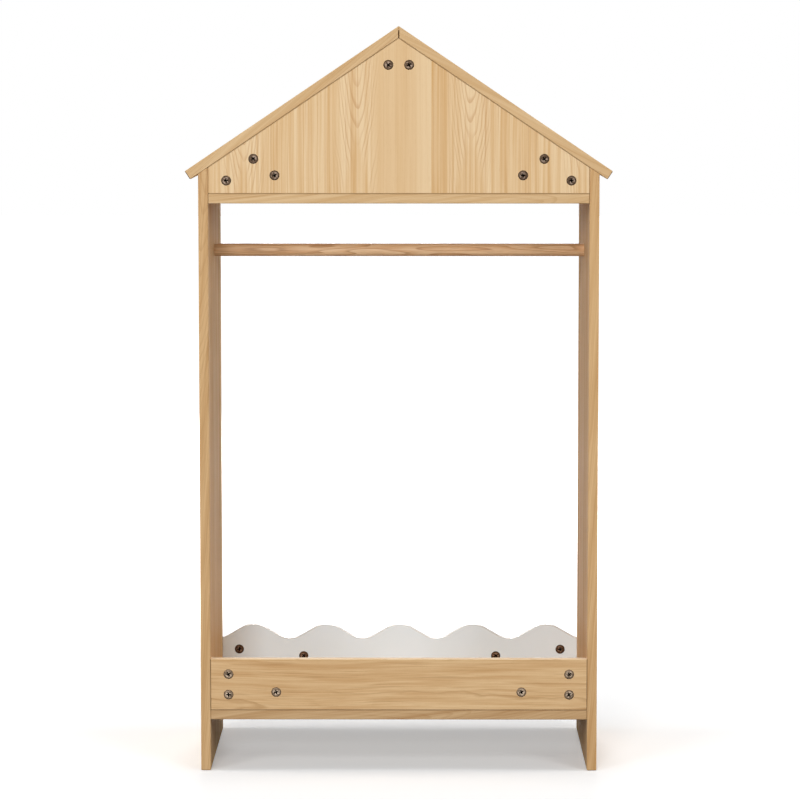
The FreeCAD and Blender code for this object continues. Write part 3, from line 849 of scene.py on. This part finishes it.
def makeThread():
    # two sides of one ridge, screwed upward and cut level at both ends
    pitch = boltLook["pitch"]
    root = boltLook["rootRadius"]
    ridge = boltLook["crestRadius"] - root
    start = -boltLook["thread"] - boltLook["threadLead"] * pitch
    clearSelection()
    bpy.ops.mesh.primitive_circle_add(
        vertices=3, radius=1, location=(root + ridge / 3, 0, start), rotation=(-math.pi / 2, -math.pi / 2, 0))
    thread = bpy.context.object
    thread.scale = (pitch / math.sqrt(3), ridge / 1.5, 1)   # such a triangle is root 3 wide and 1.5 high
    settle(thread)
    pickEdges(thread, lambda one, other: max(one.x, other.x) < root + ridge / 2)
    bpy.ops.mesh.delete(type="EDGE")
    selectOnly(thread)
    screw = thread.modifiers.new("screw", "SCREW")
    screw.screw_offset = pitch
    screw.iterations = math.ceil(boltLook["thread"] / pitch) + boltLook["spareTurns"]
    screw.steps = boltLook["sides"]
    screw.render_steps = boltLook["sides"]
    bpy.ops.object.modifier_apply(modifier=screw.name)
    pickFaces(thread, lambda face: True)
    bpy.ops.mesh.remove_doubles(threshold=weld)
    bpy.ops.mesh.normals_make_consistent(inside=False)
    for level, sign in ((-boltLook["thread"], -1), (boltLook["collarHeight"] / 2, 1)):
        bpy.ops.mesh.select_all(action="SELECT")
        bpy.ops.mesh.bisect(plane_co=(0, 0, level), plane_no=(0, 0, sign), use_fill=True, clear_outer=True)
    bpy.ops.mesh.select_all(action="SELECT")
    bpy.ops.mesh.normals_make_consistent(inside=False)
    clearSelection()
    return thread


def makeBolt(length):
    thread = boltLook["thread"]
    core = boltLook["rootRadius"] * boltLook["coreShare"]
    collar = boltLook["collarRadius"]
    collarTop = boltLook["collarHeight"]
    neck = boltLook["neckRadius"]
    head = boltLook["headRadius"]
    headEnd = length - thread
    headStart = headEnd - boltLook["headLength"]
    ease = boltLook["headEase"]
    lessCurve, moreCurve = boltLook["headCurve"]
    outline = [
        (-thread * boltLook["coreReachShare"], core), (0, core), (0, collar), (collarTop, collar),
        (collarTop, neck), (headStart, neck), (headStart, head - ease), (headStart + ease, head),
        (headEnd - 2 * ease, head), (headEnd - ease, head - lessCurve * ease),
        (headEnd, head - moreCurve * ease)]
    bolt = drawUp("camBolt", boltLook["sides"], outline)
    workWith(bolt, makeThread(), "UNION")
    cutCross(bolt, headEnd, boltLook["driveReach"], boltLook["driveWidth"], boltLook["driveDepth"],
             boltLook["driveFloorShare"])
    smoothBy(bolt, boltLook["smoothAngle"])
    return bolt


def makeBoltSteel():
    material, tree, shader = newMaterial("boltSteel")
    plating = noise(tree, coordinates(tree)["Object"], scale=boltLook["platingScale"])
    dulled = remap(tree, plating, *boltLook["platingRange"])
    color = mixColor(tree, dulled, paint(*boltLook["bright"]), paint(*boltLook["dull"]))
    feed(tree, shader["Base Color"], color)
    feed(tree, shader["Roughness"], remap(tree, plating, *boltLook["platingRange"], *boltLook["roughness"]))
    feed(tree, shader["Metallic"], 1.0)
    bump(tree, shader, plating, *boltLook["bump"])
    return material


boltSteel = makeBoltSteel()
boltMasters = {}
for node, places in boltPlaces.items():
    copies = []
    for tip, direction, length in places:
        length = round(length, boltLook["lengthDigits"])
        if length not in boltMasters:
            boltMasters[length] = makeBolt(length)
        copy = copyOf(boltMasters[length], boltSteel)
        copy.location = tip + direction * boltLook["thread"]
        copy.rotation_euler = direction.to_track_quat("Z", "Y").to_euler()
        settle(copy)
        copies.append(copy)
    gather(copies, node.replace("_cam_bolts", "_threaded_bolts"), node)
for master in boltMasters.values():
    bpy.data.objects.remove(master)
print("bolts made:", sum(len(places) for places in boltPlaces.values()))


# Fluted beech dowel along X, with tapered ends
dowelLook = {
    "sides": 36, "looseness": 0.995, "endShare": 0.49, "endTaper": 0.0009, "endSteps": 2, "smoothAngle": 25,
    "fluteEvery": 3, "fluteInset": 0.0001, "fluteDepth": 0.00025, "fluteTurn": 0.1,
    "pale": (218, 178, 128), "fleck": (190, 142, 94), "fleckScale": (90.0, 900.0, 900.0),
    "fleckRange": (0.35, 0.7), "roughRange": (0.3, 0.7), "roughness": (0.6, 0.75), "bump": (0.2, 0.0002),
}


def makeDowel(length, radius):
    dowel = addCylinder("dowel", dowelLook["sides"], radius, length, turn=(0, math.pi / 2, 0))

    def onEnd(one, other):
        outer = min(abs(one.x), abs(other.x)) > length * dowelLook["endShare"]
        return outer and one.x * other.x > 0

    pickEdges(dowel, onEnd)
    bpy.ops.mesh.bevel(offset=dowelLook["endTaper"], segments=dowelLook["endSteps"])

    def isFlute(face):
        side = math.atan2(face.center.z, face.center.y) / math.tau * dowelLook["sides"]
        along = abs(face.normal.x) < dowelLook["fluteTurn"]
        return along and math.floor(side) % dowelLook["fluteEvery"] == 0

    pickFaces(dowel, isFlute)
    bpy.ops.mesh.inset(
        thickness=dowelLook["fluteInset"], depth=-dowelLook["fluteDepth"], use_individual=True)
    smoothBy(dowel, dowelLook["smoothAngle"])
    return dowel


def makeDowelBeech():
    material, tree, shader = newMaterial("dowelBeech")
    flecks = noise(tree, stretch(tree, coordinates(tree)["Object"], dowelLook["fleckScale"]))
    flecked = remap(tree, flecks, *dowelLook["fleckRange"])
    color = mixColor(tree, flecked, paint(*dowelLook["pale"]), paint(*dowelLook["fleck"]))
    feed(tree, shader["Base Color"], color)
    feed(tree, shader["Roughness"], remap(tree, flecks, *dowelLook["roughRange"], *dowelLook["roughness"]))
    bump(tree, shader, flecks, *dowelLook["bump"])
    return material


dowelBeech = makeDowelBeech()
dowelCount = 0
for node in dowelNodes:
    copies = []
    solids = looseSolids(node)
    span = solids[0]["high"] - solids[0]["low"]
    dowelMaster = makeDowel(span.x, min(span.y, span.z) / 2 * dowelLook["looseness"])
    for solid in solids:
        copy = copyOf(dowelMaster, dowelBeech)
        copy.location = (solid["low"] + solid["high"]) / 2
        settle(copy)
        copies.append(copy)
    bpy.data.objects.remove(dowelMaster)
    gather(copies, node.replace("_dowels", "_fluted_dowels"), node)
    dowelCount += len(copies)
print("dowels made:", dowelCount)


# Hanging rod of real wood, redder than the printed boards
rodLook = {
    "sides": 96, "endRound": 0.0008, "endSteps": 3, "endSlack": 1e-5, "smoothAngle": 40,
    "pale": (233, 197, 155), "red": (207, 157, 110), "dark": (132, 88, 56),
    "streakScale": (5.0, 260.0, 260.0), "streakDetail": 3.0, "streakRoughness": 0.6, "streakSwirl": 0.4,
    "streakRange": (0.35, 0.66), "streakShare": 0.4,
    "fineScale": (45.0, 1900.0, 1900.0), "fineDetail": 1.0, "fineRange": (0.58, 0.72), "fineShare": 0.25,
    "flameScale": (4.5, 60.0, 60.0), "flameDetail": 1.0, "flameRings": 9.0, "flameTone": (0.15, 0.9),
    "flameEdge": (0.9, 1.0), "flameToneShare": 0.6, "flameLine": (0.7, 0.9), "flameLineShare": 0.3,
    "roughRange": (0.3, 0.7), "roughness": (0.45, 0.58), "gloss": 0.35, "bump": (0.2, 0.0002),
}


def makeRod():
    low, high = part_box("hanging_rod")
    radius = (high.z - low.z) / 2
    rod = addCylinder("hangingRod", rodLook["sides"], radius, high.x - low.x, (low + high) / 2,
                      (0, math.pi / 2, 0))
    atEnd = high.x - rodLook["endSlack"]
    pickEdges(rod, lambda one, other: min(abs(one.x), abs(other.x)) > atEnd)
    bpy.ops.mesh.bevel(offset=rodLook["endRound"], segments=rodLook["endSteps"])
    smoothBy(rod, rodLook["smoothAngle"])
    return rod


def makeRodWood():
    material, tree, shader = newMaterial("rodWood")
    place = coordinates(tree)["Object"]
    streaks = noise(tree, stretch(tree, place, rodLook["streakScale"]), detail=rodLook["streakDetail"],
                    roughness=rodLook["streakRoughness"], distortion=rodLook["streakSwirl"])
    fine = noise(tree, stretch(tree, place, rodLook["fineScale"]), detail=rodLook["fineDetail"])

    # growth rings cut lengthwise: long pale flames with a thin dark edge
    flames = noise(tree, stretch(tree, place, rodLook["flameScale"]), detail=rodLook["flameDetail"])
    within = calc(tree, "FRACT", times(tree, flames, rodLook["flameRings"]))
    edge = remap(tree, within, *rodLook["flameEdge"], 1.0, 0.0)
    tone = times(tree, remap(tree, within, *rodLook["flameTone"]), edge)
    tone = times(tree, tone, rodLook["flameToneShare"])
    streaked = times(tree, remap(tree, streaks, *rodLook["streakRange"]), rodLook["streakShare"])
    color = mixColor(tree, plus(tree, tone, streaked), paint(*rodLook["pale"]), paint(*rodLook["red"]))
    lines = times(tree, remap(tree, within, *rodLook["flameLine"]), edge)
    lines = times(tree, lines, rodLook["flameLineShare"])
    lines = plus(tree, lines, times(tree, remap(tree, fine, *rodLook["fineRange"]), rodLook["fineShare"]))
    color = mixColor(tree, lines, color, paint(*rodLook["dark"]))
    feed(tree, shader["Base Color"], color)
    feed(tree, shader["Roughness"], remap(tree, streaks, *rodLook["roughRange"], *rodLook["roughness"]))
    feed(tree, shader["Specular IOR Level"], rodLook["gloss"])
    bump(tree, shader, fine, *rodLook["bump"])
    return material


rod = makeRod()
rod.data.materials.append(makeRodWood())
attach(rod, "rod")
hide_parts("hanging_rod")
print("rod made")


# Studio: pale floor, white surroundings and soft light from all sides
studio = {
    "ambient": 0.14, "white": (1.0, 1.0, 1.0, 1.0), "lampTarget": (0, 0, 0.55),
    "floorSize": 40.0, "floorDrop": 0.0004, "floorColor": (0.94, 0.95, 0.96, 1.0),
    "floorBounce": (0.2, 0.2, 0.2, 1.0), "floorGlow": 0.2, "shadowReach": (0.9, 1.6),
}


def cameraLike(tree):
    # 1 for what the camera sees directly, in gloss or through glass
    path = tree.nodes.new("ShaderNodeLightPath").outputs
    seen = plus(tree, path["Is Camera Ray"], path["Is Glossy Ray"])
    return plus(tree, seen, path["Is Transmission Ray"], clamp=True)


def makeWorld():
    world = bpy.data.worlds.new("studioWorld")
    scene.world = world
    world.use_nodes = True
    tree = world.node_tree
    background = tree.nodes["Background"].inputs
    strength = remap(tree, cameraLike(tree), 0.0, 1.0, studio["ambient"], 1.0, smooth=False)
    feed(tree, background["Color"], studio["white"])
    feed(tree, background["Strength"], strength)


def makeFloor():
    clearSelection()
    bpy.ops.mesh.primitive_plane_add(size=studio["floorSize"], location=(0, 0, -studio["floorDrop"]))
    floor = bpy.context.object
    floor.name = "studioFloor"
    material, tree, shader = newMaterial("studioFloor")
    seen = cameraLike(tree)
    feed(tree, shader["Base Color"], mixColor(tree, seen, studio["floorBounce"], studio["floorColor"]))
    feed(tree, shader["Roughness"], 1.0)
    feed(tree, shader["Specular IOR Level"], 0.0)

    # white away from the shadow, and clear from below
    away = vectorCalc(tree, "LENGTH", coordinates(tree)["Object"])
    glow = remap(tree, away, *studio["shadowReach"], studio["floorGlow"], 1.0)
    feed(tree, shader["Emission Color"], studio["white"])
    feed(tree, shader["Emission Strength"], times(tree, seen, glow))
    backfacing = tree.nodes.new("ShaderNodeNewGeometry").outputs["Backfacing"]
    feed(tree, shader["Alpha"], minus(tree, 1.0, backfacing))
    floor.data.materials.append(material)


lampLooks = {
    "softboxLeft": {"place": (2.9, 4.1, 2.4), "size": 1.6, "power": 60.0},
    "softboxRight": {"place": (-2.9, 4.1, 2.4), "size": 1.6, "power": 60.0},
    "softboxCamera": {"place": (0.9, 6.1, 2.1), "size": 1.4, "power": 160.0},
    "softboxTop": {"place": (0.0, 0.3, 4.4), "size": 1.6, "power": 23.0},
    "softboxFront": {"place": (0.0, -5.0, 1.9), "size": 1.6, "power": 155.0},
    "fillLeft": {"place": (5.0, 0.0, 1.7), "size": 1.6, "power": 110.0},
    "fillRight": {"place": (-5.0, 0.0, 1.7), "size": 1.6, "power": 110.0},
}


def hang(name, data, place, target):
    # a lamp or camera at its place, looking at the target
    holder = bpy.data.objects.new(name, data)
    holder.location = place
    holder.rotation_euler = (Vector(target) - Vector(place)).to_track_quat("-Z", "Y").to_euler()
    scene.collection.objects.link(holder)
    return holder


def makeLamps():
    for name, look in lampLooks.items():
        lamp = bpy.data.lights.new(name, "AREA")
        lamp.shape = "SQUARE"
        lamp.size = look["size"]
        lamp.energy = look["power"]
        hang(name, lamp, look["place"], studio["lampTarget"])


viewLook = {"eye": (-0.0241, 5.4908, 1.0875), "aim": (-0.0019, 0.175, 0.5781), "lens": 156.26,
            "sensor": 36.0, "clipEnd": 100.0}


def makeCamera():
    camera = bpy.data.cameras.new("photoCamera")
    camera.lens = viewLook["lens"]
    camera.sensor_width = viewLook["sensor"]
    camera.clip_end = viewLook["clipEnd"]
    scene.camera = hang("photoCamera", camera, viewLook["eye"], viewLook["aim"])


makeWorld()
makeFloor()
makeLamps()
makeCamera()
scene.view_settings.view_transform = "Standard"
print("studio ready")
